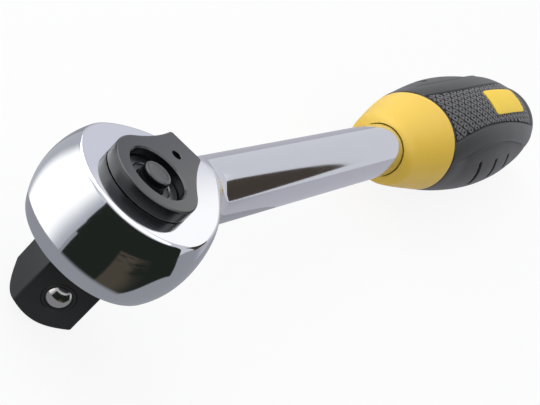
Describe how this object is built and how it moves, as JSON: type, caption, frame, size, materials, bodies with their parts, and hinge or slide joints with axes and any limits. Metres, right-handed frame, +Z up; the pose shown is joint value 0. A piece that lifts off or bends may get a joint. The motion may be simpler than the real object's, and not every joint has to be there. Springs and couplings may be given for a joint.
{
  "type": "socket ratchet",
  "caption": "Socket ratchet with a square drive, quick-release button, reversing lever, round head, straight shank and a two-material moulded grip.",
  "frame": {"origin": "centre of the flat end face of the drive square", "axes": "+Z up the drive axis towards the reversing lever, +X along the shank towards the grip, +Y to the left when looking from the head along the shank with the lever on top"},
  "size_m": [0.2828, 0.0369, 0.0438],
  "materials": {
    "chrome": "mirror-polished chrome plate",
    "bare_steel": "turned and polished",
    "spring_steel": "drawn, lightly oiled",
    "black_steel": "black oxide, satin",
    "black_lever": "satin black",
    "seal_rubber": "matte",
    "yellow_plastic": "smooth moulded, low gloss",
    "grip_rubber": "fine matte texture"
  },
  "bodies": {
    "handle": {"head_body": "chrome", "bottom_plate": "bare_steel", "plate_snap_ring": "spring_steel", "thrust_washer": "bare_steel", "pawl_spring": "spring_steel", "grip_core": "yellow_plastic", "grip_sleeve": "grip_rubber", "badge_inlay": "yellow_plastic"},
    "drive": {"drive_gear": "black_steel", "drive_seal": "seal_rubber", "button_retainer": "spring_steel", "release_spring": "spring_steel"},
    "button": {"release_button": "black_lever", "release_pin": "bare_steel"},
    "ball": {"detent_ball": "bare_steel"},
    "lever": {"reversing_lever": "black_lever", "shift_plate": "bare_steel", "lever_clip": "spring_steel", "lever_seal": "seal_rubber"},
    "pawl": {"pawl": "black_steel"}
  },
  "joints": [
    {"name": "drive_spin", "type": "hinge", "parent": "handle", "child": "drive", "pos_m": [0, 0, 0], "axis": [0, 0, 1], "continuous": true},
    {"name": "button_press", "type": "slide", "parent": "drive", "child": "button", "axis": [0, 0, -1], "range_m": [0, 0.003], "stiffness_N_per_m": 1500, "springref_m": -0.002, "deforming": ["release_spring"]},
    {"name": "ball_retract", "type": "slide", "parent": "drive", "child": "ball", "axis": [0.7443, 0.6678, 0], "range_m": [0, 0.0015]},
    {"name": "lever_turn", "type": "hinge", "parent": "handle", "child": "lever", "pos_m": [0, 0, 0], "axis": [0, 0, 1], "range_deg": [-33.2, 0]},
    {"name": "pawl_swing", "type": "hinge", "parent": "handle", "child": "pawl", "pos_m": [0.004, 0, 0], "axis": [0, 0, 1], "range_deg": [-48.65, 0]}
  ],
  "couplings": [
    {"joint": "ball_retract", "follows": "button_press", "ratio": 0.5},
    {"joint": "pawl_swing", "follows": "lever_turn", "ratio": 1.4651}
  ]
}
